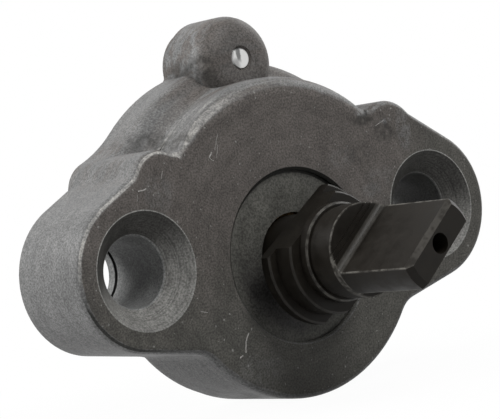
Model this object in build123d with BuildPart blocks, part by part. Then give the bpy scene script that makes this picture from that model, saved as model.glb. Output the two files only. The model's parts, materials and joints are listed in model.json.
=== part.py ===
# Engine oil pump with a gerotor pump set. Units are millimetres.
# X runs along the bolt line, Z is up toward the lug, and the drive shaft points along -Y.
# The origin is on the shaft axis, in the rear mounting face. A height is a distance in front
# of that face, so the height h lies at y = -h.
import os
from cmath import exp
from math import acos, asin, atan2, cos, degrees, dist, pi, radians, sin, sqrt

from build123d import *

# Stack of the casing
cover_thickness = 2.0
housing_depth = 16.0

# Rotor set. The outer rotor, the body and the bolt line share one axis above the shaft
eccentricity = 3.1
outer_lobes = 5
lobe_circle = 19.5
lobe_radius = 6.6
lobe_clearance = 0.05
root_clearance = 0.1
lobe_root_fillet = 1.2
arcs_per_lobe = 16
rotor_width = 9.0
rotor_side_clearance = 0.05
rotor_ring_wall = 2.0
rotor_running_clearance = 0.06
rotor_bore_clearance = 0.02

# Casting outline. The shoulders stand at the cover screws, and the right one is the broader.
# An ear's upper edge runs into its shoulder, an edge depth below the shoulder's round
body_wall = 4.24
bolt_spacing = 59.25
ear_radius = 12.35
ear_low_angle = -77.5
left_ear_edge_depth = 1.328
right_ear_edge_depth = 0.387
shoulder_angle = 27.4
left_shoulder_reach = 1.6
left_shoulder_radius = 5.0
right_shoulder_reach = 0.7
right_shoulder_radius = 6.3
scallop_fillet = 2.2
shoulder_fillet = 3.0
ear_root_fillet = 5.0
face_edge_fillet = 1.2

# The front edge is rounder over the top of the body: a round about an axis below the body's
crown_radius = 3.2
crown_drop = 4.4

# Upper rear stage of the casting: a straight wall, then a soft slope in to the body
stage_width = 3.4
stage_height = 6.6
stage_slope = 5.5
stage_blend_radius = 20.0

# Round lug behind the body's top edge, and its dowel, a little above the lug's middle
lug_inset = 0.25
lug_radius = 7.55
lug_height = 12.1
lug_edge_fillet = 3.8
lug_root_fillet = 0.8
dowel_rise = 0.4
dowel_radius = 1.75
dowel_clearance = 0.02
dowel_end_gap = 0.1
dowel_mouth_chamfer = 0.3

# Conical bolt seats
bolt_hole_radius = 5.5
seat_rim_radius = 9.0
seat_angle = 90
joint_chamfer = 0.35

# Recess about the shaft, and the bearing behind it
recess_radius = 13.6
recess_depth = 1.0
recess_rim_chamfer = 0.4
mouth_gap = 0.45
mouth_depth = 1.2
journal_radius = 6.5
journal_clearance = 0.03
bush_wall = 1.4
bush_seat_clearance = 0.01

# Shaft, as distances in front of the casting's face
shaft_end_gap = 0.3
rear_disc_start = 3.5
rear_disc_radius = 11.0
front_disc_start = 5.6
front_disc_radius = 9.5
front_disc_end = 9.0
disc_edge_chamfer = 0.3
upper_flat_distance = 6.9
lower_flat_distance = 7.9
disc_flat_angle = 122
ring_radius = 7.7
ring_end = 10.7
groove_radius = 7.0
bar_start = 12.0
bar_radius = 7.25
bar_edge_chamfer = 0.3
tang_start = 16.3
tang_end = 31.9
tang_half_thickness = 2.3
tang_angle = 128
tang_root_radius = 1.0
tang_step_width = 0.75
tang_step_rise = 0.3
tip_chamfer = 0.9
tip_flat_depth = 0.4
tip_flat_length = 1.3
centre_hole_radius = 1.55
centre_hole_depth = 5.0

# Cross pin that drives the inner rotor
pin_radius = 1.5
pin_overhang = 1.5
pin_gap_behind = 0.85
pin_clearance = 0.02

# Kidney ports between the roots of the two rotors, and the shadow recesses opposite them
port_inner_margin = 1.05
port_outer_margin = 2.4
port_half_angle = 50
shadow_depth = 1.2

# Rear cover, set in from the casting's outline
cover_inset = 0.4
cover_shoulder_inset = 0.1
cover_lug_inset = 0.8
cover_ear_inset = 1.4

# Cover screws
screw_radius = 2.0
screw_length = 10.0
screw_hole_extra = 1.0
screw_head_radius = 3.7
screw_head_sink = 0.15
screw_clearance = 0.02
screw_socket_across = 2.5
screw_socket_depth = 1.2

# How far a cutting shape runs past the face that it cuts
overrun = 1.0

# Sizes that follow from those above
inner_lobes = outer_lobes - 1
face_height = cover_thickness + housing_depth
bolt_x = bolt_spacing / 2
rotor_back = cover_thickness + rotor_side_clearance
rotor_front = rotor_back + rotor_width
pocket_floor = rotor_front + rotor_side_clearance
lobe_root_radius = lobe_circle - lobe_radius + 2 * eccentricity + root_clearance
outer_rotor_radius = lobe_root_radius + rotor_ring_wall
inner_root_radius = lobe_circle - eccentricity - lobe_radius - lobe_clearance
pocket_radius = outer_rotor_radius + rotor_running_clearance
body_radius = pocket_radius + body_wall
stage_radius = body_radius + stage_width
lug_z = eccentricity + stage_radius - lug_inset
dowel_z = lug_z + dowel_rise
mouth_radius = journal_radius + mouth_gap
port_inner_radius = inner_root_radius + port_inner_margin
port_outer_radius = lobe_root_radius - port_outer_margin
pin_half_length = journal_radius + pin_overhang
bush_radius = journal_radius + bush_wall
recess_floor = face_height - recess_depth
bush_front = recess_floor - mouth_depth
shaft_end = cover_thickness + shaft_end_gap
pin_height = shaft_end + pin_gap_behind + pin_radius
body_centre = (0, eccentricity)
ear_centre = (bolt_x, eccentricity)
mounting_plane = Plane(origin=(0, 0, 0), x_dir=(-1, 0, 0), z_dir=(0, 1, 0))
shaft_axis = Axis((0, 0, 0), (0, -1, 0))


def face_plane(height):
    """Plane parallel to the mounting face at a height, with X to the right and Z up."""
    return Plane.XZ.offset(height)


def section_plane(angle=0.0, centre=(0.0, 0.0)):
    """Plane through an axis: local x is the distance from it at that angle, local y is the height."""
    a = radians(angle)
    return Plane(origin=(centre[0], 0, centre[1]), x_dir=(cos(a), 0, sin(a)), z_dir=(sin(a), 0, -cos(a)))


def axis_through(centre):
    """Axis along the shaft's direction, through a point of the face plane."""
    return Axis((centre[0], 0, centre[1]), (0, -1, 0))


def angle_to(start, end):
    """Direction in the face plane from one point to another."""
    return degrees(atan2(end[1] - start[1], end[0] - start[0]))


def on_circle(radius, angle, centre=(0.0, 0.0)):
    """Point at a distance from a centre, in the direction of an angle in the face plane."""
    return (centre[0] + radius * cos(radians(angle)), centre[1] + radius * sin(radians(angle)))


def edge_to_circle(start, angle, centre, radius):
    """Where a straight edge first meets a circle, and where it would pass nearest to its centre."""
    towards = on_circle(1, angle)
    offset = (centre[0] - start[0], centre[1] - start[1])
    nearest = offset[0] * towards[0] + offset[1] * towards[1]
    miss = offset[0] * towards[1] - offset[1] * towards[0]
    return on_circle(nearest - sqrt(radius**2 - miss**2), angle, start), on_circle(nearest, angle, start)


def circle_corner(radius, centre, other_radius, other_centre):
    """The corner where a circle meets another one, on the left of the line between their centres."""
    offset = (other_centre[0] - centre[0], other_centre[1] - centre[1])
    distance = sqrt(offset[0] ** 2 + offset[1] ** 2)
    half_width = acos((radius**2 - other_radius**2 + distance**2) / (2 * distance * radius))
    return on_circle(radius, degrees(atan2(offset[1], offset[0]) + half_width), centre)


# The two sides: mirror factor, ear angle, and the shoulder's centre and radius. The centre has a
# positive x, and the mirror factor puts it on its side. The ear angle is where the ear's upper edge
# leaves its round end
sides = []
for side, reach, radius, edge_depth in (
    (-1, left_shoulder_reach, left_shoulder_radius, left_ear_edge_depth),
    (1, right_shoulder_reach, right_shoulder_radius, right_ear_edge_depth),
):
    centre = on_circle(body_radius + reach, shoulder_angle, body_centre)
    lean = degrees(asin((ear_radius - radius + edge_depth) / dist(ear_centre, centre)))
    sides.append((side, angle_to(ear_centre, centre) + lean - 90, centre, radius))
screw_places = [(side * centre[0], centre[1]) for side, ear_angle, centre, radius in sides]


def casting_outline(height, inset=0.0, ear_inset=0.0, shoulder_inset=0.0):
    """Outline of the casting, or of a plate set in from it: body, two ears and two screw shoulders."""
    body = body_radius - inset
    ear = ear_radius - ear_inset
    low = on_circle(ear, ear_low_angle, ear_centre)
    low_corner, low_end = edge_to_circle(low, ear_low_angle - 90, body_centre, body)
    corners = []
    with BuildSketch(face_plane(height)) as outline:
        with Locations(body_centre):
            Circle(body)
        for side, ear_angle, shoulder_centre, radius in sides:
            shoulder = radius - shoulder_inset
            high = on_circle(ear, ear_angle, ear_centre)
            high_corner, high_end = edge_to_circle(high, ear_angle + 90, shoulder_centre, shoulder)
            scallop_corner = circle_corner(body, body_centre, shoulder, shoulder_centre)
            with Locations((side * bolt_x, eccentricity)):
                Circle(ear)
            with Locations((side * shoulder_centre[0], shoulder_centre[1])):
                Circle(shoulder)
            rim = (low, low_end, body_centre, shoulder_centre, high_end, high, ear_centre)
            with BuildLine():
                Polyline([(side * x, z) for x, z in rim][::side], close=True)
            make_face()
            for (x, z), fillet_radius in (
                (scallop_corner, scallop_fillet),
                (high_corner, shoulder_fillet),
                (low_corner, ear_root_fillet),
            ):
                corners.append(((side * x, z), fillet_radius))
        for corner, fillet_radius in corners:
            fillet(outline.vertices().sort_by_distance(corner)[0], fillet_radius)
    return outline.sketch


def rims_at(part, radius, height):
    """Round rims of one radius that lie at one height."""
    rims = part.edges().filter_by(GeomType.CIRCLE)
    rims = rims.filter_by(lambda rim: abs(rim.radius - radius) < 0.001)
    return rims.filter_by(lambda rim: abs(rim.center().Y + height) < 0.001)


def port_pair(height):
    """The suction and the pressure kidney, one on each side of the shaft."""
    middle_radius = (port_inner_radius + port_outer_radius) / 2
    centre = (0, eccentricity / 2)
    arcs = [
        CenterArc(centre, middle_radius, start - port_half_angle, 2 * port_half_angle) for start in (0, 180)
    ]
    with BuildSketch(face_plane(height)) as ports:
        for arc in arcs:
            SlotArc(arc, port_outer_radius - port_inner_radius)
    return ports.sketch


def inner_rotor_point(turn):
    """Point of the inner rotor: the lobe centre's path in the rotor's frame, set in by the lobe radius."""
    spin = exp(2j * pi * turn)
    path = lobe_circle * spin + eccentricity * spin**outer_lobes
    heading = 1j * (lobe_circle * spin + outer_lobes * eccentricity * spin**outer_lobes)
    point = 1j * (path + (lobe_radius + lobe_clearance) * 1j * heading / abs(heading))
    return (point.real, point.imag)


# Stage: it turns about the body's axis over the top, and about an outside axis on each side, where
# it swings out to the shoulder. A turn is its axis, wall radius, outward sense, start and sweep
blends = []
for side, ear_angle, shoulder_centre, radius in sides:
    blend_centre = circle_corner(
        stage_radius + stage_blend_radius, body_centre, radius + stage_blend_radius, shoulder_centre
    )
    ends = [angle_to(blend_centre, centre) for centre in (body_centre, shoulder_centre)]
    blends.append((side, blend_centre, ends))
left_start, right_start = (angle_to(body_centre, centre) for side, centre, ends in blends)
stage_turns = [(body_centre, stage_radius, 1, right_start, 180 - left_start - right_start)]
for side, (x, z), (first, last) in blends:
    start = first if side > 0 else 180 - last
    stage_turns.append(((side * x, z), stage_blend_radius, -1, start, last - first))

with BuildPart() as stage:
    for centre, radius, outward, start, sweep in stage_turns:
        inner = radius - outward * stage_width
        inside = inner - outward * body_wall / 2
        slope_end = stage_height + stage_slope
        middle = ((radius + inner) / 2, (stage_height + slope_end) / 2)
        with BuildSketch(section_plane(start, centre)):
            with BuildLine():
                Polyline(
                    (inner, slope_end),
                    (inside, slope_end),
                    (inside, cover_thickness),
                    (radius, cover_thickness),
                    (radius, stage_height),
                )
                TangentArc((radius, stage_height), middle, tangent=(0, 1))
                TangentArc(middle, (inner, slope_end), tangent=(0, -1), tangent_from_first=False)
            make_face()
        revolve(axis=axis_through(centre), revolution_arc=sweep)

with BuildPart() as lug:
    with BuildSketch(face_plane(cover_thickness)):
        with Locations((0, lug_z)):
            Circle(lug_radius)
    extrude(amount=lug_height - cover_thickness)
    fillet(lug.faces().sort_by(shaft_axis)[-1].edges(), lug_edge_fillet)

# Pump housing
casting = casting_outline(cover_thickness)
shadow_ports = port_pair(pocket_floor)
crown_centre = (0, eccentricity - crown_drop)
scallops = [
    circle_corner(body_radius, body_centre, radius, centre) for side, ear_angle, centre, radius in sides
]
crown_left, crown_right = (angle_to(crown_centre, corner) for corner in scallops)

with BuildPart() as pump_housing:
    extrude(casting, amount=housing_depth)
    front_edges = pump_housing.faces().sort_by(shaft_axis)[-1].edges()
    fillet(front_edges, face_edge_fillet)

    # Rounder edge over the top of the body, from one scallop to the other
    with BuildSketch(section_plane(crown_right, crown_centre)):
        wall = body_radius + crown_drop
        foot = face_height - crown_radius
        with BuildLine():
            RadiusArc((wall, foot), (wall - crown_radius, face_height), -crown_radius)
            Polyline(
                (wall - crown_radius, face_height),
                (wall - crown_radius, face_height + overrun),
                (wall + overrun, face_height + overrun),
                (wall + overrun, foot),
                (wall, foot),
            )
        make_face()
    revolve(
        axis=axis_through(crown_centre),
        revolution_arc=180 - crown_left - crown_right,
        mode=Mode.SUBTRACT,
    )
    add(stage.part)
    add(lug.part)

    # Conical bolt seats in the ears
    with Locations(face_plane(face_height)):
        with Locations((-bolt_x, eccentricity), (bolt_x, eccentricity)):
            CounterSinkHole(bolt_hole_radius, seat_rim_radius, counter_sink_angle=seat_angle)

    # Recess about the shaft, the mouth of the bore and the seat of the bush
    with BuildSketch(face_plane(recess_floor)):
        Circle(recess_radius)
    extrude(amount=recess_depth, mode=Mode.SUBTRACT)
    with BuildSketch(face_plane(cover_thickness)):
        Circle(mouth_radius)
    extrude(amount=housing_depth, mode=Mode.SUBTRACT)
    with BuildSketch(face_plane(cover_thickness)):
        Circle(bush_radius + bush_seat_clearance)
    extrude(amount=bush_front - cover_thickness, mode=Mode.SUBTRACT)

    # Rotor pocket and the shadow recesses in its floor
    with BuildSketch(face_plane(cover_thickness)):
        with Locations((0, eccentricity)):
            Circle(pocket_radius)
    extrude(amount=pocket_floor - cover_thickness, mode=Mode.SUBTRACT)
    extrude(shadow_ports, amount=shadow_depth, mode=Mode.SUBTRACT)

    # Holes for the dowel and for the cover screws
    with BuildSketch(face_plane(cover_thickness)):
        with Locations((0, dowel_z)):
            Circle(dowel_radius + dowel_clearance)
    extrude(amount=lug_height - cover_thickness, mode=Mode.SUBTRACT)
    with BuildSketch(face_plane(cover_thickness)):
        with Locations(*screw_places):
            Circle(screw_radius + screw_clearance)
    extrude(
        amount=screw_head_sink + screw_length + screw_hole_extra - cover_thickness,
        mode=Mode.SUBTRACT,
    )

    chamfer(rims_at(pump_housing, bolt_hole_radius, cover_thickness), joint_chamfer)
    chamfer(rims_at(pump_housing, dowel_radius + dowel_clearance, lug_height), dowel_mouth_chamfer)
    chamfer(rims_at(pump_housing, recess_radius, face_height), recess_rim_chamfer)
pump_housing.part.label = "pump_housing"

# Bush that carries the shaft in the front wall
with BuildPart() as shaft_bush:
    with BuildSketch(face_plane(pocket_floor)):
        Circle(bush_radius)
        Circle(journal_radius + journal_clearance, mode=Mode.SUBTRACT)
    extrude(amount=bush_front - pocket_floor)
shaft_bush.part.label = "shaft_bush"

# Drive shaft: turned all over, then the disc flats and the tang are milled
with BuildPart() as drive_shaft:
    with BuildSketch(section_plane()):
        with BuildLine():
            Polyline(
                (0, shaft_end),
                (journal_radius - disc_edge_chamfer, shaft_end),
                (journal_radius, shaft_end + disc_edge_chamfer),
                (journal_radius, face_height + rear_disc_start),
                (rear_disc_radius - disc_edge_chamfer, face_height + rear_disc_start),
                (rear_disc_radius, face_height + rear_disc_start + disc_edge_chamfer),
                (rear_disc_radius, face_height + front_disc_start - disc_edge_chamfer),
                (rear_disc_radius - disc_edge_chamfer, face_height + front_disc_start),
                (front_disc_radius, face_height + front_disc_start),
                (front_disc_radius, face_height + front_disc_end - disc_edge_chamfer),
                (front_disc_radius - disc_edge_chamfer, face_height + front_disc_end),
                (ring_radius, face_height + front_disc_end),
                (ring_radius, face_height + ring_end - bar_edge_chamfer),
                (ring_radius - bar_edge_chamfer, face_height + ring_end),
                (groove_radius, face_height + ring_end),
                (groove_radius, face_height + bar_start),
                (bar_radius - bar_edge_chamfer, face_height + bar_start),
                (bar_radius, face_height + bar_start + bar_edge_chamfer),
                (bar_radius, face_height + tang_end - tip_chamfer),
                (bar_radius - tip_chamfer, face_height + tang_end),
                (0, face_height + tang_end),
                close=True,
            )
        make_face()
    revolve(axis=shaft_axis)

    # Flats on both discs
    with BuildSketch(face_plane(face_height + rear_disc_start)):
        for distance, angle in (
            (upper_flat_distance, disc_flat_angle),
            (lower_flat_distance, disc_flat_angle + 180),
        ):
            with PolarLocations(distance + rear_disc_radius, 1, start_angle=angle):
                Rectangle(2 * rear_disc_radius, 3 * rear_disc_radius)
    extrude(amount=front_disc_end - rear_disc_start, mode=Mode.SUBTRACT)

    # The tang: each side is milled to a round root, with shallow steps on the shoulder beside it
    root_x = tang_half_thickness + tang_root_radius
    root_y = face_height + tang_start
    root_end = (tang_half_thickness, root_y + tang_root_radius)
    tip_x = tang_half_thickness - tip_flat_depth
    tip_y = face_height + tang_end
    flat_end = (tang_half_thickness, tip_y - tip_flat_length)
    for side_angle in (tang_angle, tang_angle + 180):
        with BuildSketch(section_plane(side_angle)):
            with BuildLine():
                Polyline((tip_x, tip_y + overrun), (tip_x, tip_y), flat_end, root_end)
                RadiusArc(root_end, (root_x, root_y), -tang_root_radius)
                Polyline(
                    (root_x, root_y),
                    (root_x + tang_step_width, root_y),
                    (root_x + tang_step_width, root_y - tang_step_rise),
                    (root_x + 2 * tang_step_width, root_y - tang_step_rise),
                    (root_x + 2 * tang_step_width, root_y - 2 * tang_step_rise),
                    (2 * bar_radius, root_y - 2 * tang_step_rise),
                    (2 * bar_radius, tip_y + overrun),
                    (tip_x, tip_y + overrun),
                )
            make_face()
        extrude(amount=2 * bar_radius, both=True, mode=Mode.SUBTRACT)

    # Centre hole in the tip, with its drilled cone
    with BuildSketch(section_plane()):
        with BuildLine():
            Polyline(
                (0, tip_y),
                (centre_hole_radius, tip_y),
                (centre_hole_radius, tip_y - centre_hole_depth),
                (0, tip_y - centre_hole_depth - centre_hole_radius),
                close=True,
            )
        make_face()
    revolve(axis=shaft_axis, mode=Mode.SUBTRACT)

    # Cross hole for the drive pin
    with BuildSketch(Plane.YZ):
        with Locations((-pin_height, 0)):
            Circle(pin_radius + pin_clearance)
    extrude(amount=journal_radius + overrun, both=True, mode=Mode.SUBTRACT)
drive_shaft.part.label = "drive_shaft"

with BuildPart() as drive_pin:
    with BuildSketch(Plane.YZ):
        with Locations((-pin_height, 0)):
            Circle(pin_radius)
    extrude(amount=pin_half_length, both=True)
    chamfer(drive_pin.edges().filter_by(GeomType.CIRCLE), pin_radius / 5)
drive_pin.part.label = "drive_pin"

# Inner rotor, with a slot for the pin across its rear face
with BuildPart() as inner_rotor:
    with BuildSketch(face_plane(rotor_back)):
        with BuildLine():
            arcs = inner_lobes * arcs_per_lobe
            for arc in range(arcs):
                ThreePointArc(*(inner_rotor_point((arc + part) / arcs) for part in (0, 0.5, 1)))
        make_face()
        Circle(journal_radius + rotor_bore_clearance, mode=Mode.SUBTRACT)
    extrude(amount=rotor_width)
    with BuildSketch(face_plane(rotor_back)):
        Rectangle(2 * (pin_half_length + 10 * pin_clearance), 2 * (pin_radius + pin_clearance))
    extrude(amount=pin_height + pin_radius + pin_clearance - rotor_back, mode=Mode.SUBTRACT)
inner_rotor.part.label = "inner_rotor"

# Outer rotor: round lobes on a circle about the body axis
with BuildSketch(face_plane(rotor_back)) as rotor_space:
    Circle(lobe_root_radius)
    with PolarLocations(lobe_circle, outer_lobes, start_angle=90):
        Circle(lobe_radius, mode=Mode.SUBTRACT)
    fillet(rotor_space.vertices(), lobe_root_fillet)

with BuildPart() as outer_rotor:
    with BuildSketch(face_plane(rotor_back)):
        with Locations((0, eccentricity)):
            Circle(outer_rotor_radius)
            add(rotor_space.sketch_local, mode=Mode.SUBTRACT)
    extrude(amount=rotor_width)
outer_rotor.part.label = "outer_rotor"

# Rear cover with the two kidney ports, set in a little from the casting's outline
cover_shape = casting_outline(0, cover_inset, cover_ear_inset, cover_shoulder_inset)
cover_ports = port_pair(0)
cover_lug_radius = lug_radius - cover_lug_inset

with BuildPart() as rear_cover:
    extrude(cover_shape, amount=cover_thickness)
    with BuildSketch(face_plane(0)):
        with Locations((0, eccentricity)):
            Circle(stage_radius - cover_inset)
        with Locations((0, eccentricity - stage_radius)):
            Rectangle(3 * stage_radius, 2 * stage_radius, mode=Mode.SUBTRACT)
        with Locations((0, lug_z)):
            Circle(cover_lug_radius)
        with Locations((0, (eccentricity + lug_z) / 2)):
            Rectangle(2 * cover_lug_radius, lug_z - eccentricity)
    extrude(amount=cover_thickness)
    root_z = eccentricity + sqrt((stage_radius - cover_inset) ** 2 - cover_lug_radius**2)
    for side, ear_angle, centre, radius in sides:
        corner = circle_corner(
            stage_radius - cover_inset, body_centre, radius - cover_shoulder_inset, centre
        )
        root = (cover_lug_radius, root_z)
        for (x, z), fillet_radius in ((corner, stage_blend_radius), (root, lug_root_fillet)):
            upright = rear_cover.edges().filter_by(Axis.Y)
            fillet(upright.sort_by_distance((side * x, -cover_thickness / 2, z))[0], fillet_radius)
    extrude(cover_ports, amount=cover_thickness, mode=Mode.SUBTRACT)
    with BuildSketch(face_plane(0)):
        with Locations((-bolt_x, eccentricity), (bolt_x, eccentricity)):
            Circle(bolt_hole_radius)
        with Locations((0, dowel_z)):
            Circle(dowel_radius + dowel_clearance)
    extrude(amount=cover_thickness, mode=Mode.SUBTRACT)
    with Locations(mounting_plane):
        with Locations([(-x, z) for x, z in screw_places]):
            CounterSinkHole(
                screw_radius + screw_clearance,
                screw_head_radius + screw_head_sink + screw_clearance,
                depth=cover_thickness,
                counter_sink_angle=90,
            )
    chamfer(rims_at(rear_cover, bolt_hole_radius, cover_thickness), joint_chamfer)
rear_cover.part.label = "rear_cover"

# Dowel that lines the cover up with the lug
with BuildPart() as locating_dowel:
    with BuildSketch(face_plane(dowel_end_gap)):
        with Locations((0, dowel_z)):
            Circle(dowel_radius)
    extrude(amount=lug_height - 2 * dowel_end_gap)
    chamfer(locating_dowel.edges().filter_by(GeomType.CIRCLE), dowel_radius / 8)
locating_dowel.part.label = "locating_dowel"


def cover_screw(place):
    """Countersunk socket screw in one shoulder, from the cover into the casting."""
    head_depth = screw_head_radius - screw_radius
    end = screw_head_sink + screw_length
    tip = screw_radius / 4
    with BuildPart() as screw:
        with BuildSketch(section_plane()):
            with BuildLine():
                Polyline(
                    (0, screw_head_sink),
                    (screw_head_radius, screw_head_sink),
                    (screw_radius, screw_head_sink + head_depth),
                    (screw_radius, end - tip),
                    (screw_radius - tip, end),
                    (0, end),
                    close=True,
                )
            make_face()
        revolve(axis=shaft_axis)
        with BuildSketch(face_plane(screw_head_sink)):
            RegularPolygon(screw_socket_across / 2, 6, major_radius=False)
        extrude(amount=screw_socket_depth, mode=Mode.SUBTRACT)
    return screw.part.moved(Location((place[0], 0, place[1])))


pieces = [pump_housing.part, shaft_bush.part, drive_shaft.part, drive_pin.part, inner_rotor.part]
pieces += [outer_rotor.part, rear_cover.part, locating_dowel.part]
for place, name in zip(screw_places, ("cover_screw_left", "cover_screw_right")):
    screw = cover_screw(place)
    screw.label = name
    pieces.append(screw)

os.makedirs("parts", exist_ok=True)
for piece in pieces:
    export_step(piece, f"parts/{piece.label}.step")
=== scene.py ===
# %% [markdown]
# # A small engine oil pump
# The pump is a grey casting with two bolt ears, a lug with a bright dowel, and a black steel shaft that
# ends in a flat tang. Its solids come packed as a fixed frame: every piece is in metres, at its real
# place. This lesson gives each piece its finish, adds the small marks that a used casting carries, and
# sets the camera and a plain studio round it.

import json
import math

import bmesh
import bpy
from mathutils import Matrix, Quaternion, Vector


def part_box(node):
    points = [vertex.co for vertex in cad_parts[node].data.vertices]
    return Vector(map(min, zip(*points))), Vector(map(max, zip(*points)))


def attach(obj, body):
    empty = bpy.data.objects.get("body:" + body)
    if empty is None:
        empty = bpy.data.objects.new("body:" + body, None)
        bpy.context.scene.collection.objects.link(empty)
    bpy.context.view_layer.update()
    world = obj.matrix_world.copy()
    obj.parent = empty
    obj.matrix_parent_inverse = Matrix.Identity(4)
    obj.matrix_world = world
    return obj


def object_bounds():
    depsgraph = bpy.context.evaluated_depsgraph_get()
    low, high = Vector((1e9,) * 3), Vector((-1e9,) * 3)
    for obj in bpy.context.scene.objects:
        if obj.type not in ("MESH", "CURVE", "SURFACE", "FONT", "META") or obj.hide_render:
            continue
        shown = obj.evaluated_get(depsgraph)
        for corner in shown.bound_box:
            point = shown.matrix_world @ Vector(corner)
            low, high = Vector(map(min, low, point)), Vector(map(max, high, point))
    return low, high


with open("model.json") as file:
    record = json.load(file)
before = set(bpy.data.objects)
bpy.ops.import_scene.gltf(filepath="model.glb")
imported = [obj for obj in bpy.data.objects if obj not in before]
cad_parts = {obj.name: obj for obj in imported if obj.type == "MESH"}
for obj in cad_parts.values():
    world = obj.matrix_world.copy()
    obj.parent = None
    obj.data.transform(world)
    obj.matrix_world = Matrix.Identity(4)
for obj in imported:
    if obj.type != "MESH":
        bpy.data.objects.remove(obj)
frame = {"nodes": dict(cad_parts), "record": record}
cad_low, cad_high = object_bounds()
nodes = frame["nodes"]
mounts = {mount["name"]: mount for mount in frame["record"]["mounts"]}
print("pieces from the frame:", ", ".join(sorted(nodes)))
print("size of the pump in mm:", [round(1000 * side, 1) for side in cad_high - cad_low])

# %% [markdown]
# ## Camera
# The photograph was taken with a long lens from the left of the drive face, a little above the shaft.
# A camera is a place, a point that it looks at and a roll about its own line of sight. The lens length
# goes with Blender's usual 36 mm sensor.

# %% Camera
camera_place = Vector((-0.21523, -0.27828, 0.02531))
camera_aim = Vector((-0.00838, -0.018, 0.00876))
camera_roll = math.radians(-10.17)
camera_lens = 155.04

camera = bpy.data.objects.new("camera", bpy.data.cameras.new("camera"))
bpy.context.scene.collection.objects.link(camera)
camera.data.lens = camera_lens
camera.data.clip_start = 0.01
camera.data.clip_end = 20
sight = camera_aim - camera_place
camera.rotation_mode = "QUATERNION"
camera.rotation_quaternion = sight.to_track_quat("-Z", "Y") @ Quaternion((0, 0, 1), camera_roll)
camera.location = camera_place
bpy.context.scene.camera = camera
print("camera stands", round(1000 * sight.length), "mm from the drive face")

# %% [markdown]
# ## Where things are
# The finishes follow the shape: turned cones round the bolt holes, a recess round the shaft, a cast skin
# elsewhere. Their patterns need the axes, faces and radii of these features. The bolt holes come from
# the frame's mounts, and the faces and the dowel from the pieces' own boxes. The rest are the real sizes
# of the pump. All are in metres.

# %% Axes and faces
holes = mounts["mounting_holes"]
bolt_z = holes["pos_m"][2]
bolt_x = holes["dims"]["spacing_x_mm"] / 2000
hole_radius = holes["dims"]["hole_r_mm"] / 1000
face_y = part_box("pump_housing")[0].y
joint_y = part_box("pump_housing")[1].y
tip_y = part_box("drive_shaft")[0].y
pin_low, pin_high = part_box("locating_dowel")
pin_x = 0.5 * (pin_low.x + pin_high.x)
pin_z = 0.5 * (pin_low.z + pin_high.z)
pin_radius = 0.5 * (pin_high.x - pin_low.x)
floor_z = cad_low.z
seat_rim = 0.009
seat_y = face_y + 0.0038
recess_rim = 0.0136
stage_y = -0.0066
body_y = -0.0121
print("bolt holes at x = ±%.2f mm, face at y = %.1f mm" % (1000 * bolt_x, 1000 * face_y))
print("dowel at x = %.2f mm, z = %.2f mm" % (1000 * pin_x, 1000 * pin_z))

# %% [markdown]
# ## Building a material in code
# A material is a small graph. These helpers add one node, set its inputs by name, and link whatever is
# already a socket, so that each finish below reads from top to bottom.

# %% Helpers for node graphs
def add(tree, kind, inputs=None, **settings):
    node = tree.nodes.new(kind)
    for name, value in settings.items():
        setattr(node, name, value)
    for name, value in (inputs or {}).items():
        if isinstance(value, bpy.types.NodeSocket):
            tree.links.new(value, node.inputs[name])
        else:
            node.inputs[name].default_value = value
    return node


def calculate(tree, operation, *values):
    node = add(tree, "ShaderNodeMath", operation=operation)
    for socket, value in zip(node.inputs, values):
        if isinstance(value, bpy.types.NodeSocket):
            tree.links.new(value, socket)
        else:
            socket.default_value = value
    return node.outputs[0]


def split(tree, vector):
    return add(tree, "ShaderNodeSeparateXYZ", {"Vector": vector}).outputs


# %% [markdown]
# A mask is a number from 0 to 1 that says how much of a finish lies at a point. `ramp` turns a length or
# an angle into a mask: it needs the values where the mask starts and where it is full, and may have its
# own low and high level. `band` keeps a strip, by its middle, half width and softness. The others put
# masks together. Limits are kept as named tuples, in this order, and passed with a star.

# %% Helpers for masks
def ramp(tree, value, start, end, low=0.0, high=1.0):
    inputs = {"Value": value, "From Min": start, "From Max": end, "To Min": low, "To Max": high}
    return add(tree, "ShaderNodeMapRange", inputs, interpolation_type="SMOOTHSTEP").outputs[0]


def both(tree, *masks):
    result = masks[0]
    for mask in masks[1:]:
        result = calculate(tree, "MULTIPLY", result, mask)
    return result


def either(tree, *masks):
    result = masks[0]
    for mask in masks[1:]:
        result = calculate(tree, "MAXIMUM", result, mask)
    return result


def outside(tree, mask):
    return calculate(tree, "SUBTRACT", 1.0, mask)


def band(tree, value, middle, half_width, softness):
    away = calculate(tree, "ABSOLUTE", calculate(tree, "SUBTRACT", value, middle))
    return ramp(tree, away, half_width + softness, half_width)


def radius_about(tree, across, up, x=0.0, z=0.0, stretch=1.0):
    side = calculate(tree, "MULTIPLY", calculate(tree, "SUBTRACT", across, x), stretch)
    rise = calculate(tree, "SUBTRACT", up, z)
    side_square = calculate(tree, "MULTIPLY", side, side)
    rise_square = calculate(tree, "MULTIPLY", rise, rise)
    return calculate(tree, "SQRT", calculate(tree, "ADD", side_square, rise_square))


# %% Helpers for colour and relief
def noise(tree, vector, size, detail=3.0, roughness=0.55):
    inputs = {"Vector": vector, "Scale": 1 / size, "Detail": detail, "Roughness": roughness}
    return add(tree, "ShaderNodeTexNoise", inputs).outputs["Fac"]


def over(tree, colour, mask, top):
    mix = add(tree, "ShaderNodeMix", data_type="RGBA")
    for socket, value in zip((mix.inputs[0], mix.inputs[6], mix.inputs[7]), (mask, colour, top)):
        if isinstance(value, bpy.types.NodeSocket):
            tree.links.new(value, socket)
        else:
            socket.default_value = (*value, 1.0)
    return mix.outputs[2]


def shaded(tree, colour, *factors):
    inputs = {0: colour, 1: both(tree, *factors)}
    return add(tree, "ShaderNodeVectorMath", inputs, operation="MULTIPLY").outputs[0]


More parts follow.
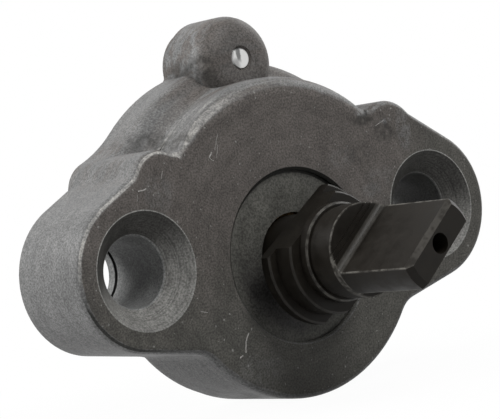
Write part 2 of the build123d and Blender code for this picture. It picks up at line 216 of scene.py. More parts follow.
def new_material(name, metallic, roughness, specular):
    material = bpy.data.materials.new(name)
    material.use_nodes = True
    tree = material.node_tree
    shader = tree.nodes["Principled BSDF"]
    shader.inputs["Metallic"].default_value = metallic
    shader.inputs["Roughness"].default_value = roughness
    shader.inputs["Specular IOR Level"].default_value = specular
    coordinates = add(tree, "ShaderNodeTexCoord").outputs
    return material, tree, shader, coordinates["Object"], coordinates["Normal"]


def bump(tree, shader, height, depth):
    node = add(tree, "ShaderNodeBump", {"Height": height, "Distance": depth, "Strength": 1.0})
    tree.links.new(node.outputs["Normal"], shader.inputs["Normal"])


def dress(names, material):
    for name in names:
        nodes[name].data.materials.clear()
        nodes[name].data.materials.append(material)
    print("finish", material.name, "on", ", ".join(names))


# %% [markdown]
# ## The cast skin
# The walls of a die casting are a dull neutral grey with a fine grain. The flat face that looks at the shaft
# is browner and darker: partly its own colour, and partly painted shade on everything that faces forward. Its
# colour stops sharply where the edge rounds off. So it is done with one material and masks: the masks read
# the surface's direction and its place, and each lays one colour over the last.
#
# The measures come first. `facing` is the part of the surface's direction that points along the shaft:
# -1 on the drive face, 0 on a wall and 1 on the back. A little noise in it makes the colours' edges
# uneven, as on a real casting.

# %% Measures that every mask reads
edge_unevenness = 0.16
unevenness_size = 0.003


def casting_measures(tree, place, normal):
    x, y, z = split(tree, place)
    directions = split(tree, normal)
    facing = directions["Y"]
    centred = calculate(tree, "SUBTRACT", noise(tree, place, unevenness_size), 0.5)
    wobble = calculate(tree, "MULTIPLY", centred, edge_unevenness)
    return {
        "x": x, "y": y, "z": z,
        "facing": facing,
        "uneven_facing": calculate(tree, "ADD", facing, wobble),
        "upness": directions["Z"],
        "bolt": radius_about(tree, calculate(tree, "ABSOLUTE", x), z, bolt_x, bolt_z),
        "shaft": radius_about(tree, x, z),
        "pin": radius_about(tree, x, z, pin_x, pin_z),
    }


# %% [markdown]
# The rounded edge of the drive face carries a painted highlight where it looks up, most of all at the left,
# and painted shade where it looks down. The cones of the bolt seats and their holes are cut bright.

# %% The drive face and its rounded edge
face_turn = (-0.88, -0.96)
face_depth = (face_y + 0.0015, face_y + 0.001)
edge_turn = (-0.78, 0.09, 0.07)
edge_depth = (face_y + 0.0035, face_y + 0.003)
edge_off_seat = (seat_rim + 0.0001, seat_rim + 0.0004)
edge_off_recess = (0.015, 0.016)
looks_up = (-0.05, 0.2)
looks_down = (-0.06, -0.25)
highlight_reach = (-0.003, -0.018, 0.15, 1.0)
edge_shade_reach = (-0.022, -0.034, 0.3, 1.0)
rim_line = (seat_rim, 0.00008, 0.00012)


def face_masks(tree, at):
    front = ramp(tree, at["uneven_facing"], *face_turn)
    edge = both(tree, band(tree, at["facing"], *edge_turn), ramp(tree, at["y"], *edge_depth))
    edge = both(tree, edge, ramp(tree, at["bolt"], *edge_off_seat), ramp(tree, at["shaft"], *edge_off_recess))
    upper_edge = both(tree, edge, ramp(tree, at["upness"], *looks_up))
    lower_edge = both(tree, edge, ramp(tree, at["upness"], *looks_down))
    return {
        "face": both(tree, front, ramp(tree, at["y"], *face_depth)),
        "highlight": both(tree, upper_edge, ramp(tree, at["x"], *highlight_reach)),
        "edge_shade": both(tree, lower_edge, ramp(tree, at["x"], *edge_shade_reach)),
        "seat_rim": both(tree, band(tree, at["bolt"], *rim_line), front),
    }


# %% The recess, the seats and the holes
recess_wall = (recess_rim + 0.0004, recess_rim + 0.0001)
recess_front = (-0.014, -0.015)
# The line on the recess's upper edge is painted shade.
crease_line = (recess_rim, 0.00035, 0.0002)
crease_height = (-0.011, -0.002)
seat_wall = (seat_rim + 0.0001, seat_rim - 0.0001)
seat_depth = (seat_y + 0.001, seat_y)
bore_wall = (hole_radius + 0.0003, hole_radius + 0.0001)


def cut_masks(tree, at):
    return {
        "recess": both(tree, ramp(tree, at["shaft"], *recess_wall), ramp(tree, at["y"], *recess_front)),
        "recess_edge_shade": both(tree, band(tree, at["shaft"], *crease_line), ramp(tree, at["z"], *crease_height)),
        "seat": both(tree, ramp(tree, at["bolt"], *seat_wall), ramp(tree, at["y"], *seat_depth)),
        "bore": ramp(tree, at["bolt"], *bore_wall),
    }


# %% [markdown]
# Behind the face the casting steps back over a slope to a wider stage, and the lug stands on that. Dirt
# gathers on the slope, and the stage to the right of the lug is darkened almost to black. The lug's front has
# the face's colour, with its painted shade.

# %% The lug, the slope and the stage
lug_foot = (0.0262, 0.0285)
lug_back = (-0.0125, -0.0119)
lug_turn = (-0.25, -0.7)
pin_gap_line = (pin_radius + 0.0001, 0.00018, 0.0001)
slope_strip = (0.5 * (stage_y + body_y) - 0.0006, 0.0012, 0.0016)
slope_foot = (0.012, 0.02)
slope_reach = (-0.018, -0.005, 0.15, 1.0)
stage_left = (-0.001, 0.004)
stage_right = (0.02, 0.013)
stage_foot = (0.018, 0.022)
stage_front = (body_y, body_y + 0.001)
stage_back = (joint_y, joint_y - 0.001)


def rear_masks(tree, at):
    lug = both(tree, ramp(tree, at["z"], *lug_foot), ramp(tree, at["y"], *lug_back))
    lug_front = both(tree, lug, ramp(tree, at["uneven_facing"], *lug_turn))
    slope = both(tree, band(tree, at["y"], *slope_strip), ramp(tree, at["z"], *slope_foot))
    slope = both(tree, slope, ramp(tree, at["x"], *slope_reach))
    stage = both(tree, ramp(tree, at["x"], *stage_left), ramp(tree, at["x"], *stage_right))
    stage = both(tree, stage, ramp(tree, at["z"], *stage_foot))
    stage = both(tree, stage, ramp(tree, at["y"], *stage_front), ramp(tree, at["y"], *stage_back))
    return {
        "lug_front": lug_front,
        "pin_gap": both(tree, band(tree, at["pin"], *pin_gap_line), lug_front),
        "slope": both(tree, slope, outside(tree, lug)),
        "stage": both(tree, stage, outside(tree, lug)),
    }


# %% [markdown]
# Streaks run round the casting, as metal and hands have rubbed along its walls. Noise gives them this
# shape when its path is the angle round the pump, shortened so that each patch is drawn out.

# %% Streaks that run round the casting
streak_size = 0.0016
length_per_radian = 0.0022


def streaks(tree, at):
    turn = calculate(tree, "ARCTAN2", calculate(tree, "SUBTRACT", at["z"], bolt_z), at["x"])
    around = calculate(tree, "MULTIPLY", turn, length_per_radian)
    away = radius_about(tree, at["x"], at["z"], z=bolt_z)
    path = add(tree, "ShaderNodeCombineXYZ", {"X": around, "Y": at["y"], "Z": away}).outputs[0]
    return noise(tree, path, streak_size, detail=5.0, roughness=0.6)


# %% [markdown]
# A few spots are rubbed light and a few are darkened: most are stains, and the dark spot low on the left of
# the lug's front is painted shade. Each is an oval in a table: its place in x and z, its half width and half
# height in metres, and its strength. Noise makes their edges ragged.

# %% Wear, dirt and painted shade on the face
rubs = (
    (0.0263, 0.0163, 0.0016, 0.0036, 0.6),
    (0.0173, 0.0076, 0.0022, 0.0014, 0.4),
    (0.0186, 0.0202, 0.0022, 0.0008, 1.0),
    (0.0226, 0.0182, 0.0013, 0.0005, 1.0),
    (0.0120, 0.0137, 0.0030, 0.0018, 0.25),
    (0.0194, 0.0095, 0.0034, 0.0018, 0.2),
    (-0.0250, 0.0140, 0.0030, 0.0030, 0.3),
    (-0.0120, -0.0160, 0.0050, 0.0030, 0.25),
)
stains_and_shade = (
    (0.0177, 0.0190, 0.0026, 0.0010, 0.8),
    (0.0217, 0.0164, 0.0024, 0.0018, 0.7),
    (0.0160, 0.0140, 0.0030, 0.0020, 0.4),
    # painted shade, low on the left of the lug's front
    (-0.0066, 0.0312, 0.0016, 0.0026, 0.7),
    (-0.0195, 0.0215, 0.0034, 0.0018, 0.55),
)
print(len(rubs), "rubbed spots and", len(stains_and_shade), "stained ones")


def patches(tree, at, places):
    result = []
    for patch_x, patch_z, width, height, strength in places:
        away = radius_about(tree, at["x"], at["z"], patch_x, patch_z, stretch=height / width)
        result.append(ramp(tree, away, 1.2 * height, 0.6 * height, 0.0, strength))
    return either(tree, *result)


# %% Masks of the marks
speck_size = 0.0006
speck_share = (0.76, 0.82)
speck_strength = 0.7
ragged_size = 0.0012
ragged_share = (0.35, 0.6)
off_cover = (joint_y - 0.001, joint_y - 0.002)
off_seat = (seat_rim, seat_rim + 0.0005)
off_recess = (recess_rim, recess_rim + 0.0005)


def mark_masks(tree, place, at):
    specks = both(tree, ramp(tree, noise(tree, place, speck_size, detail=0.0), *speck_share), at["face"])
    ragged = ramp(tree, noise(tree, place, ragged_size), *ragged_share)
    ragged = both(tree, ragged, ramp(tree, at["y"], *off_cover))
    return {
        "rubbed": both(tree, at["face"], ragged, patches(tree, at, rubs)),
        "stained_and_shaded": both(tree, ragged, patches(tree, at, stains_and_shade), ramp(tree, at["bolt"], *off_seat)),
        "specks": both(tree, specks, ramp(tree, at["shaft"], *off_recess), speck_strength),
    }


# %% [markdown]
# Now the colours, as linear values, and the order in which they are laid. Each layer covers what lies
# under it, so the walls come first and the cut metal last.

# %% Colours of the casting
cast_colours = {
    "wall": (0.12, 0.12, 0.119),
    "face": (0.076, 0.0688, 0.0636),
    "face_low_shade": (0.058, 0.0565, 0.0507),
    "slope": (0.064, 0.056, 0.051),
    "stage": (0.02, 0.018, 0.017),
    "highlight": (0.29, 0.282, 0.265),
    "edge_shade": (0.03, 0.03, 0.028),
    "stain_and_shade": (0.025, 0.024, 0.022),
    "speck": (0.2, 0.2, 0.19),
    "recess": (0.068, 0.067, 0.06),
    "recess_edge_shade": (0.012, 0.012, 0.01),
    "recess_shade": (0.02, 0.019, 0.019),
    "seat": (0.155, 0.153, 0.145),
    "bore": (0.135, 0.137, 0.135),
    "seat_shade": (0.026, 0.025, 0.023),
    "pin_gap": (0.012, 0.012, 0.011),
    "joint": (0.004, 0.004, 0.004),
}
print(len(cast_colours), "colours for the casting")


def layer(tree, colour, mask, name):
    return over(tree, colour, mask, cast_colours[name])


# %% Walls, slope and lug
smear_share = (0.42, 0.62)
smear_height = (0.0, 0.02, 0.1, 0.85)
smear_off_ear = (-0.034, -0.022, 0.15, 1.0)
smear_off_back = (0.9, 0.5, 0.2, 1.0)
clean_strip = (-0.0165, 0.0035, 0.005)
clean_share = (0.0, 1.0, 1.0, 0.35)
slope_share = (0.38, 0.56, 0.35, 1.0)
shine_share = (0.5, 0.35)
shine_height = (0.012, 0.016)
shine_off_face = (-0.88, -0.7)
shine_off_stage = (body_y + 0.001, body_y)
shine_strength = 0.6
stage_strength = 0.9
lug_strength = 0.85


def wall_layers(tree, at, smear):
    clean = band(tree, at["x"], *clean_strip)
    smeared = both(tree, ramp(tree, smear, *smear_share), ramp(tree, at["z"], *smear_height))
    smeared = both(tree, smeared, ramp(tree, at["x"], *smear_off_ear))
    smeared = both(tree, smeared, ramp(tree, at["facing"], *smear_off_back), ramp(tree, clean, *clean_share))
    shine = both(tree, ramp(tree, smear, *shine_share), ramp(tree, at["z"], *shine_height), clean)
    shine = both(tree, shine, ramp(tree, at["facing"], *shine_off_face))
    shine = both(tree, shine, ramp(tree, at["y"], *shine_off_stage))
    colour = layer(tree, cast_colours["wall"], smeared, "slope")
    colour = layer(tree, colour, both(tree, at["slope"], ramp(tree, smear, *slope_share)), "slope")
    colour = layer(tree, colour, both(tree, shine, shine_strength), "highlight")
    # The stage to the right of the lug is darkened almost to black.
    colour = layer(tree, colour, both(tree, at["stage"], stage_strength), "stage")
    colour = layer(tree, colour, at["pin_gap"], "pin_gap")
    # The lug's front takes the face colour, whose darkness is partly painted shade on what faces forward.
    return layer(tree, colour, both(tree, at["lug_front"], lug_strength), "face")


# %% Drive face, its edge and its marks
low_height = (0.022, -0.002)
low_unevenness = 0.02
right_ear_shade = (0.022, 0.034, 0.0, 0.9)
highlight_patch_size = 0.0013
highlight_patch_share = (0.3, 0.6, 0.2, 0.8)
corner_side = (-0.0088, 0.0006, 0.0009)
corner_height = (0.033, 0.0025, 0.002)
corner_front = (-0.009, -0.0105)
corner_share = (0.35, 0.6)


def face_layers(tree, place, at, marks, colour, mottle, smear):
    # Lower on the face, and on the right ear, the face is darker: painted shade.
    height = calculate(tree, "MULTIPLY_ADD", mottle, low_unevenness, at["z"])
    low = either(tree, ramp(tree, height, *low_height), ramp(tree, at["x"], *right_ear_shade))
    # Everything that faces forward takes the face colour: browner, and darker partly as painted shade.
    colour = layer(tree, colour, at["face"], "face")
    colour = layer(tree, colour, both(tree, at["face"], low), "face_low_shade")
    # The painted highlight on the rounded edge is broken into patches; after it comes the painted shade where
    # the edge looks down.
    highlight_patches = ramp(tree, noise(tree, place, highlight_patch_size), *highlight_patch_share)
    colour = layer(tree, colour, both(tree, at["highlight"], highlight_patches), "highlight")
    colour = layer(tree, colour, at["edge_shade"], "edge_shade")
    colour = layer(tree, colour, marks["rubbed"], "wall")
    colour = layer(tree, colour, marks["stained_and_shaded"], "stain_and_shade")
    # A painted highlight runs in streaks down the lug's left front corner.
    corner = both(tree, band(tree, at["x"], *corner_side), band(tree, at["z"], *corner_height))
    corner = both(tree, corner, ramp(tree, at["y"], *corner_front), ramp(tree, smear, *corner_share))
    return layer(tree, colour, corner, "highlight")


# %% [markdown]
# The recess and the seats carry painted shade. In the recess it is deepest low on the left, beside the shaft.
# In the seats it lies on the upper left of the cones, and more on the right seat than the left; it also
# darkens the right bore.
# The recess's upper edge carries a thin painted shade; its mask is multiplied by itself, which draws the dark
# line there finer.

# %% Recess, seats and holes
# Painted shade in the recess, low on the left beside the shaft.
recess_shade_ring = (0.0142, 0.0102)
recess_shade_height = (0.006, -0.005)
recess_shade_side = (0.006, -0.003, 0.2, 1.0)
recess_shade_strength = 0.85
# Painted shade on the upper left of the seats and in the right bore.
seat_shade_lean = -0.5
seat_shade_rise_to_right = 0.08
seat_shade_height = (bolt_z - 0.006, bolt_z + 0.002, 0.0, 0.87)
seat_shade_in_right_bore = (-0.01, 0.015, 0.0, 0.85)


def cut_layers(tree, at, colour):
    recess_shaded = both(tree, ramp(tree, at["shaft"], *recess_shade_ring), ramp(tree, at["z"], *recess_shade_height))
    recess_shaded = both(tree, recess_shaded, ramp(tree, at["x"], *recess_shade_side), at["recess"], recess_shade_strength)
    colour = layer(tree, colour, at["recess"], "recess")
    colour = layer(tree, colour, recess_shaded, "recess_shade")
    colour = layer(tree, colour, both(tree, at["recess_edge_shade"], at["recess_edge_shade"]), "recess_edge_shade")
    colour = layer(tree, colour, at["seat"], "seat")
    colour = layer(tree, colour, at["bore"], "bore")
    bolt_centre = calculate(tree, "MULTIPLY", calculate(tree, "SIGN", at["x"]), bolt_x)
    side = calculate(tree, "SUBTRACT", at["x"], bolt_centre)
    rise = calculate(tree, "MULTIPLY_ADD", at["x"], seat_shade_rise_to_right, at["z"])
    rise = calculate(tree, "MULTIPLY_ADD", side, seat_shade_lean, rise)
    on_seat = both(tree, at["seat"], outside(tree, at["bore"]))
    in_bore = both(tree, at["bore"], ramp(tree, at["x"], *seat_shade_in_right_bore))
    seat_shaded = both(tree, either(tree, on_seat, in_bore), ramp(tree, rise, *seat_shade_height))
    return layer(tree, colour, seat_shaded, "seat_shade")


# %% Specks and the joint of the cover
joint_line = (joint_y, 0.0003, 0.0002)
joint_ring = (0.007, 0.0065)


def last_layers(tree, at, marks, colour):
    colour = layer(tree, colour, either(tree, marks["specks"], at["seat_rim"]), "speck")
    joint = both(tree, band(tree, at["y"], *joint_line), ramp(tree, at["bolt"], *joint_ring))
    return layer(tree, colour, joint, "joint")


# %% [markdown]
# The grain, the mottle and the streaks make the colour lighter and darker, and rings round each bolt
# axis do so on the seats, where a tool has turned them. The same grain and rings give a slight relief.

# %% Cast skin
mottle_size = 0.0035
grain_size = 0.0003
ring_size = 0.00025
relief_depth = 0.00002
grain_strength = (0.0, 1.0, 0.4, 0.42)
mottle_shade = (0.25, 0.75, 0.84, 1.16)
streak_shade = (0.3, 0.7, 0.88, 1.12)
ring_shade = (0.35, 0.65, -0.15, 0.15)
mottle_roughness = (0.2, 0.8, 0.38, 0.56)


def cast_skin(name):
    material, tree, shader, place, normal = new_material(name, metallic=0.0, roughness=0.45, specular=0.12)
    at = casting_measures(tree, place, normal)
    for masks in (face_masks, cut_masks, rear_masks):
        at.update(masks(tree, at))
    marks = mark_masks(tree, place, at)
    smear = streaks(tree, at)
    mottle = noise(tree, place, mottle_size, detail=4.0, roughness=0.65)
    colour = wall_layers(tree, at, smear)
    colour = face_layers(tree, place, at, marks, colour, mottle, smear)
    colour = cut_layers(tree, at, colour)
    colour = last_layers(tree, at, marks, colour)
    grain = noise(tree, place, grain_size, detail=2.0)
    strength = ramp(tree, either(tree, at["face"], at["lug_front"]), *grain_strength)
    light = calculate(tree, "MULTIPLY_ADD", ramp(tree, grain, 0.25, 0.75, -1.0, 1.0), strength, 1.0)
    broad = ramp(tree, mottle, *mottle_shade)
    drawn = ramp(tree, smear, *streak_shade)
    from_axis = add(tree, "ShaderNodeCombineXYZ", {"X": at["bolt"], "Y": 0.0, "Z": 0.0}).outputs[0]
    rings = noise(tree, from_axis, ring_size, detail=1.0)
    cut = calculate(tree, "MULTIPLY_ADD", at["seat"], ramp(tree, rings, *ring_shade), 1.0)
    tree.links.new(shaded(tree, colour, light, broad, drawn, cut), shader.inputs["Base Color"])
    tree.links.new(ramp(tree, mottle, *mottle_roughness), shader.inputs["Roughness"])
    bump(tree, shader, over(tree, grain, at["seat"], rings), relief_depth)
    return material


dress(["pump_housing", "rear_cover"], cast_skin("cast_skin"))

# %% [markdown]
# ## Steel
# The shaft is oil-blackened, so it is almost black with a brown cast. Its sharp edges and the round root
# of the tang are rubbed back to bare metal. Fine turning rings run round its axis. The pieces inside are
# plainer: the rotors are sintered and dull, and the bush is bronze.

# %% Plain steel finishes
turned_stretch = (0.03, 1.0, 0.03)


def turned_rings(tree, place, size):
    path = add(tree, "ShaderNodeMapping", {"Vector": place, "Scale": turned_stretch}).outputs[0]
    return noise(tree, path, size, detail=2.0)


def steel(name, colour, metallic, roughness):
    material, tree, shader, place, normal = new_material(name, metallic, roughness, specular=0.5)
    mottle = noise(tree, place, 0.003)
    shade = ramp(tree, mottle, 0.3, 0.7, 0.8, 1.2)
    rough = ramp(tree, mottle, 0.3, 0.7, roughness - 0.05, roughness + 0.08)
    tree.links.new(shaded(tree, colour, shade), shader.inputs["Base Color"])
    tree.links.new(rough, shader.inputs["Roughness"])
    bump(tree, shader, turned_rings(tree, place, 0.0002), 0.000005)
    return material


dress(["drive_pin"], steel("ground_steel", (0.45, 0.45, 0.45), 0.9, 0.3))
dress(["inner_rotor", "outer_rotor"], steel("sintered_steel", (0.22, 0.22, 0.22), 0.8, 0.45))
dress(["shaft_bush"], steel("bearing_bronze", (0.4, 0.26, 0.12), 0.9, 0.4))
dress(["cover_screw_left", "cover_screw_right"], steel("screw_steel", (0.1, 0.1, 0.1), 0.7, 0.4))

# %% [markdown]
# The dowel's end is ground and bright. A dark wedge hangs from its upper edge, its lower left is in
# shade, and its rim is a little dull.

# %% The dowel's polished end
wedge_side = (-0.00015, 0.00025, 0.0003)
wedge_height = (pin_z - 0.001, pin_z + 0.0002)
shade_side = (0.0, -0.0009)
shade_height = (pin_z + 0.0006, pin_z - 0.0004)
rim_ring = (0.75 * pin_radius, pin_radius)


def polished_end(name, bright, dull_and_shade):
    material, tree, shader, place, normal = new_material(name, metallic=0.9, roughness=0.3, specular=0.5)
    x, y, z = split(tree, place)
    side = calculate(tree, "SUBTRACT", x, pin_x)
    uneven_side = calculate(tree, "MULTIPLY_ADD", noise(tree, place, 0.0006, detail=2.0), 0.0005, side)
    wedge = both(tree, band(tree, uneven_side, *wedge_side), ramp(tree, z, *wedge_height), 0.8)
    # The lower left of the end is painted shade.
    shade = both(tree, ramp(tree, side, *shade_side), ramp(tree, z, *shade_height), 0.55)
    rim = both(tree, ramp(tree, radius_about(tree, x, z, pin_x, pin_z), *rim_ring), 0.5)
    colour = over(tree, bright, either(tree, wedge, shade, rim), dull_and_shade)
    tree.links.new(colour, shader.inputs["Base Color"])
    return material


dress(["locating_dowel"], polished_end("polished_dowel", (0.62, 0.62, 0.61), (0.06, 0.06, 0.06)))

# %% [markdown]
# The shaft's wear follows its own shape. `across` is the distance from the tang's middle plane, which
# stands at an angle to the pump, and `lean` is how far the surface faces along the same line.

# %% Where the shaft is rubbed bare
tang_half = 0.0023
tang_angle = math.radians(128)
bar_radius = 0.00725
bar_y = face_y - 0.012
disc_y = face_y - 0.009
root_y = face_y - 0.0163
root_radius = 0.001
chamfer_turn = (0.707, 0.05, 0.08)
chamfer_end = (bar_y - 0.002, bar_y - 0.001)
disc_wear = (disc_y, disc_y - 0.0003, 0.12, 0.6)
flat_line = (tang_half, 0.0001, 0.0001)
flat_rim = (bar_radius - 0.0003, bar_radius - 0.0001)
flat_start = (root_y, root_y - 0.0005)
root_side = (tang_half + 0.55 * root_radius, 0.45 * root_radius, 0.0001)
root_depth = (root_y - 0.4 * root_radius, 0.45 * root_radius, 0.0002)
shoulder_ring = (bar_radius, 0.00012, 0.0001)
shoulder_depth = (root_y + 0.0003, 0.0005, 0.0002)
bevel_turn = (0.7, 0.2, 0.1)
bevel_depth = (tip_y + 0.002, tip_y + 0.0015)
bevel_off_hole = (0.0016, 0.0018)
bevel_strength = 0.7


def along_tang(tree, x, z):
    x_share = calculate(tree, "MULTIPLY", x, math.cos(tang_angle))
    z_share = calculate(tree, "MULTIPLY", z, math.sin(tang_angle))
    return calculate(tree, "ABSOLUTE", calculate(tree, "ADD", x_share, z_share))


def shaft_wear(tree, place, normal):
    x, y, z = split(tree, place)
    directions = split(tree, normal)
    facing = calculate(tree, "ABSOLUTE", directions["Y"])
    across = along_tang(tree, x, z)
    lean = along_tang(tree, directions["X"], directions["Z"])
    radius = radius_about(tree, x, z)
    chamfers = both(tree, band(tree, facing, *chamfer_turn), ramp(tree, y, *chamfer_end))
    chamfers = both(tree, chamfers, ramp(tree, y, *disc_wear))
    flat_edge = both(tree, band(tree, across, *flat_line), ramp(tree, radius, *flat_rim))
    flat_edge = both(tree, flat_edge, ramp(tree, y, *flat_start))
    root = both(tree, band(tree, across, *root_side), band(tree, y, *root_depth))
    shoulder = both(tree, band(tree, radius, *shoulder_ring), band(tree, y, *shoulder_depth))
    bevel = both(tree, band(tree, lean, *bevel_turn), ramp(tree, y, *bevel_depth))
    bevel = both(tree, bevel, ramp(tree, across, *bevel_off_hole), bevel_strength)
    return either(tree, chamfers, flat_edge, shoulder, bevel), root


# %% Blackened steel of the shaft
def blackened_steel(name, black, bare):
    material, tree, shader, place, normal = new_material(name, metallic=0.0, roughness=0.4, specular=0.12)
    edges, root = shaft_wear(tree, place, normal)
    mottle = noise(tree, place, 0.002, detail=4.0, roughness=0.6)
    patchy = ramp(tree, noise(tree, place, 0.0012, detail=2.0), 0.35, 0.6, 0.15, 1.0)
    colour = over(tree, black, both(tree, edges, patchy), bare)
    colour = over(tree, colour, both(tree, root, ramp(tree, mottle, 0.2, 0.8, 0.25, 0.5)), bare)
    shade = ramp(tree, mottle, 0.25, 0.75, 0.85, 1.15)
    tree.links.new(shaded(tree, colour, shade), shader.inputs["Base Color"])
    tree.links.new(ramp(tree, mottle, 0.3, 0.7, 0.36, 0.5), shader.inputs["Roughness"])
    bump(tree, shader, turned_rings(tree, place, 0.00015), 0.000006)
    return material


dress(["drive_shaft"], blackened_steel("black_shaft_steel", (0.0082, 0.0069, 0.0053), (0.08, 0.076, 0.068)))

# %% [markdown]
# ## Cast grains
# The face is not smooth: small grains of metal stand a few hundredths of a millimetre proud of it. There
# are far too many to place by hand, so Geometry Nodes scatter points over the flat of the face and set
# one flat bead on each. The tree ends in plain mesh, which is kept without the modifier.

# %% Helpers for Geometry Nodes
def new_tree(name, inputs):
    tree = bpy.data.node_groups.new(name, "GeometryNodeTree")
    tree.interface.new_socket("Geometry", in_out="INPUT", socket_type="NodeSocketGeometry")
    tree.interface.new_socket("Geometry", in_out="OUTPUT", socket_type="NodeSocketGeometry")
    for label, kind in inputs.items():
        tree.interface.new_socket(label, in_out="INPUT", socket_type=kind)
    return tree, add(tree, "NodeGroupInput").outputs, add(tree, "NodeGroupOutput").inputs


def grown(name, source, tree, values):
    """Runs a tree on a mesh, and keeps the result as a plain mesh object."""
    carrier = bpy.data.objects.new(name + "_source", source)
    bpy.context.scene.collection.objects.link(carrier)
    modifier = carrier.modifiers.new("grow", "NODES")
    modifier.node_group = tree
    for item in tree.interface.items_tree:
        if item.in_out == "INPUT" and item.name in values:
            modifier[item.identifier] = values[item.name]
    depsgraph = bpy.context.evaluated_depsgraph_get()
    mesh = bpy.data.meshes.new_from_object(carrier.evaluated_get(depsgraph))
    mesh.name = name
    bpy.data.objects.remove(carrier)
    piece = bpy.data.objects.new(name, mesh)
    bpy.context.scene.collection.objects.link(piece)
    print(name, "has", len(mesh.polygons), "faces")
    return piece


# %% Bright metal for grains and scratches
def bright_metal(name, colour):
    material, tree, shader, place, normal = new_material(name, metallic=0.4, roughness=0.4, specular=0.4)
    shade = ramp(tree, noise(tree, place, 0.0004, detail=2.0), 0.3, 0.7, 0.7, 1.3)
    tree.links.new(shaded(tree, colour, shade), shader.inputs["Base Color"])
    bump(tree, shader, noise(tree, place, 0.0001), 0.000005)
    return material


grain_metal = bright_metal("rubbed_grain", (0.1, 0.096, 0.09))
scratch_metal = bright_metal("scratched_metal", (0.24, 0.234, 0.222))
print("metals:", grain_metal.name, "and", scratch_metal.name)

# %% Tree that scatters grains
tree, given, result = new_tree("cast_grains", {
    "Grain Radius": "NodeSocketFloat",
    "Grain Rise": "NodeSocketFloat",
    "Grains per Area": "NodeSocketFloat",
    "Face Place": "NodeSocketFloat",
    "Seed": "NodeSocketInt",
    "Finish": "NodeSocketMaterial",
})
normal = split(tree, add(tree, "GeometryNodeInputNormal").outputs[0])
place = split(tree, add(tree, "GeometryNodeInputPosition").outputs[0])
is_front = calculate(tree, "LESS_THAN", normal["Y"], -0.999)
near_face = calculate(tree, "LESS_THAN", place["Y"], calculate(tree, "ADD", given["Face Place"], 0.0002))
scatter = add(tree, "GeometryNodeDistributePointsOnFaces", {
    "Mesh": given["Geometry"],
    "Selection": both(tree, is_front, near_face),
    "Density": given["Grains per Area"],
    "Seed": given["Seed"],
})
bead = add(tree, "GeometryNodeMeshIcoSphere", {"Radius": given["Grain Radius"], "Subdivisions": 1})
flatness = calculate(tree, "DIVIDE", given["Grain Rise"], given["Grain Radius"])
flat = add(tree, "ShaderNodeCombineXYZ", {"X": 1.0, "Y": flatness, "Z": 1.0}).outputs[0]
vary = add(tree, "FunctionNodeRandomValue", {"Seed": given["Seed"]})
vary.inputs[2].default_value = 0.4
vary.inputs[3].default_value = 1.0
size = add(tree, "ShaderNodeVectorMath", {0: flat, 1: vary.outputs[1]}, operation="MULTIPLY").outputs[0]
copies = add(tree, "GeometryNodeInstanceOnPoints", {
    "Points": scatter.outputs["Points"],
    "Instance": bead.outputs["Mesh"],
    "Scale": size,
})
real = add(tree, "GeometryNodeRealizeInstances", {"Geometry": copies.outputs[0]})
finished = add(tree, "GeometryNodeSetMaterial", {"Geometry": real.outputs[0], "Material": given["Finish"]})
tree.links.new(finished.outputs[0], result["Geometry"])
print("tree", tree.name, "has", len(tree.nodes), "nodes")

# %% Grains on the face
grains = grown("cast_grains", nodes["pump_housing"].data.copy(), tree, {
    "Grain Radius": 0.00013,
    "Grain Rise": 0.00004,
    "Grains per Area": 40000.0,
    "Face Place": face_y,
    "Seed": 4,
    "Finish": grain_metal,
})
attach(grains, "pump_body")

# %% [markdown]
# ## Scratches
# A few scratches cross the face where the pump was handled. Each starts as one edge of a mesh. The tree
# turns the edges into curves, lets them wander a little, and gives them a thin, five-sided section. Half
# of it is sunk in the face, so what shows is the bright lip that a scratch raises.

# %% Tree that draws scratches
tree, given, result = new_tree("scratches", {
    "Width": "NodeSocketFloat",
    "Wander": "NodeSocketFloat",
    "Finish": "NodeSocketMaterial",
})
lines = add(tree, "GeometryNodeMeshToCurve", {"Mesh": given["Geometry"]})
fine = add(tree, "GeometryNodeResampleCurve", {"Curve": lines.outputs[0], "Count": 9})
place = add(tree, "GeometryNodeInputPosition").outputs[0]
sway = add(tree, "ShaderNodeTexNoise", {"Vector": place, "Scale": 900.0}).outputs["Color"]
sway = add(tree, "ShaderNodeVectorMath", {0: sway, 1: (0.5, 0.5, 0.5)}, operation="SUBTRACT").outputs[0]
in_face = add(tree, "ShaderNodeVectorMath", {0: sway, 1: (1.0, 0.0, 1.0)}, operation="MULTIPLY").outputs[0]
offset = add(tree, "ShaderNodeVectorMath", {0: in_face, 1: given["Wander"]}, operation="MULTIPLY").outputs[0]
moved = add(tree, "GeometryNodeSetPosition", {"Geometry": fine.outputs[0], "Offset": offset})
section = add(tree, "GeometryNodeCurvePrimitiveCircle", {"Resolution": 5})
tree.links.new(calculate(tree, "MULTIPLY", given["Width"], 0.5), section.inputs["Radius"])
ridge = add(tree, "GeometryNodeCurveToMesh", {
    "Curve": moved.outputs[0],
    "Profile Curve": section.outputs[0],
    "Fill Caps": True,
})
real = add(tree, "GeometryNodeRealizeInstances", {"Geometry": ridge.outputs[0]})
finished = add(tree, "GeometryNodeSetMaterial", {"Geometry": real.outputs[0], "Material": given["Finish"]})
tree.links.new(finished.outputs[0], result["Geometry"])
print("tree", tree.name, "has", len(tree.nodes), "nodes")

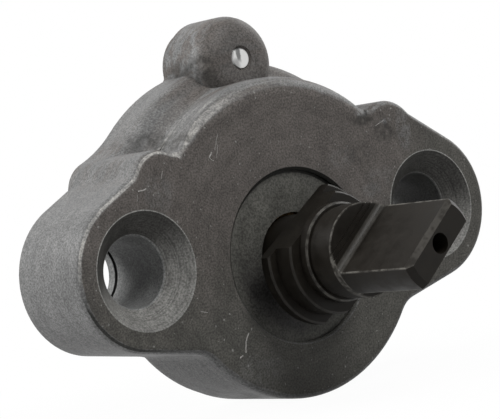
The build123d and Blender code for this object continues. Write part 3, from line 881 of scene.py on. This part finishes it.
# %% Where the scratches lie
deep_scratches = (
    ((-0.0154, -0.0132), (-0.0147, -0.0129)),
    ((-0.0142, -0.0126), (-0.0137, -0.0108)),
    ((-0.0136, -0.0109), (-0.0130, -0.0098)),
    ((-0.0287, 0.0149), (-0.0272, 0.0151)),
    ((-0.0144, 0.0178), (-0.0138, 0.0186)),
)
fine_scratches = (
    ((-0.0131, 0.0188), (-0.0120, 0.0212)),
    ((-0.0145, 0.0178), (-0.0137, 0.0172)),
    ((-0.0130, 0.0176), (-0.0125, 0.0194)),
    ((-0.0289, 0.0145), (-0.0292, 0.0136)),
    ((-0.0241, 0.0162), (-0.0236, 0.0172)),
    ((0.0203, 0.0177), (0.0224, 0.0184)),
    ((-0.0212, -0.0046), (-0.0200, -0.0052)),
)
print(len(deep_scratches), "deep scratches and", len(fine_scratches), "fine ones")


# %% Scratches on the face
def scratches(name, places, width, wander):
    outline = bmesh.new()
    for ends in places:
        outline.edges.new([outline.verts.new((x, face_y, z)) for x, z in ends])
    lines = bpy.data.meshes.new(name + "_lines")
    outline.to_mesh(lines)
    outline.free()
    piece = grown(name, lines, tree, {"Width": width, "Wander": wander, "Finish": scratch_metal})
    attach(piece, "pump_body")


scratches("deep_scratches", deep_scratches, width=0.00024, wander=0.0005)
scratches("fine_scratches", fine_scratches, width=0.0001, wander=0.0004)

# %% [markdown]
# ## Studio
# The key lamp stands behind the pump on the left and high up, so the left walls are lighter than the
# drive face. A smaller lamp, in front and above, lights the face, and a weak one fills the right side.
# The world fills the rest, more from above than from below. Rays from the camera see white there, and
# so do mirrored rays, while the fill that falls on the pump stays low.

# %% Lamps
lamp_aim = Vector((0, -0.012, 0.005))


def soft_lamp(name, direction, distance, size, power):
    lamp = bpy.data.objects.new(name, bpy.data.lights.new(name, "AREA"))
    bpy.context.scene.collection.objects.link(lamp)
    lamp.data.shape = "DISK"
    lamp.data.size = size
    lamp.data.energy = power
    lamp.location = lamp_aim + Vector(direction).normalized() * distance
    lamp.rotation_mode = "QUATERNION"
    lamp.rotation_quaternion = (lamp_aim - lamp.location).to_track_quat("-Z", "Y")
    print(name, "gives", power, "W")


soft_lamp("key_lamp", (-0.72, 0.36, 0.56), distance=0.6, size=0.3, power=4.6)
soft_lamp("front_lamp", (0.12, -0.64, 0.76), distance=0.4, size=0.2, power=1.2)
soft_lamp("right_lamp", (0.8, 0.1, 0.45), distance=0.6, size=0.4, power=1.0)


# %% World
def seen_directly(tree):
    rays = add(tree, "ShaderNodeLightPath").outputs
    return either(tree, rays["Is Camera Ray"], rays["Is Glossy Ray"], rays["Is Transmission Ray"])


fill_below = 0.24
fill_above = 0.42

world = bpy.data.worlds.new("studio")
bpy.context.scene.world = world
world.use_nodes = True
tree = world.node_tree
height = split(tree, add(tree, "ShaderNodeTexCoord").outputs["Generated"])["Z"]
fill = ramp(tree, height, -0.2, 0.9, fill_below, fill_above)
levels = {"Value": seen_directly(tree), "To Min": fill, "To Max": 1.0}
strength = add(tree, "ShaderNodeMapRange", levels).outputs[0]
background = tree.nodes["Background"]
background.inputs["Color"].default_value = (1.0, 1.0, 1.0, 1.0)
tree.links.new(strength, background.inputs["Strength"])
print("world fill from", fill_below, "to", fill_above)

# %% [markdown]
# The floor is a dull grey that throws little light up under the pump. The camera sees almost pure white
# there: a trace of shadow stays close to the pump, and further out the floor is the white of the world.

# %% Floor
floor_size = 6.0
floor_grey = (0.45, 0.45, 0.45, 1.0)
bpy.ops.mesh.primitive_plane_add(size=floor_size, location=(0, 0, floor_z))
floor = bpy.context.object
floor.name = "floor"
material, tree, shader, place, normal = new_material("white_floor", 0.0, 0.9, 0.2)
shader.inputs["Base Color"].default_value = floor_grey
distance = add(tree, "ShaderNodeVectorMath", {0: place}, operation="LENGTH").outputs["Value"]
far = ramp(tree, distance, 0.02, 0.08, 0.97, 1.0)
white = add(tree, "ShaderNodeEmission", {"Color": (1.0, 1.0, 1.0, 1.0), "Strength": 1.0}).outputs[0]
share = both(tree, far, seen_directly(tree))
mix = add(tree, "ShaderNodeMixShader", {0: share, 1: shader.outputs[0], 2: white})
tree.links.new(mix.outputs[0], tree.nodes["Material Output"].inputs["Surface"])
floor.data.materials.append(material)
print("floor at z = %.1f mm" % (1000 * floor_z))

# %% [markdown]
# ## Finish
# The colours go out as they are, in the Standard view.

# %% Finish
bpy.context.scene.view_settings.view_transform = "Standard"
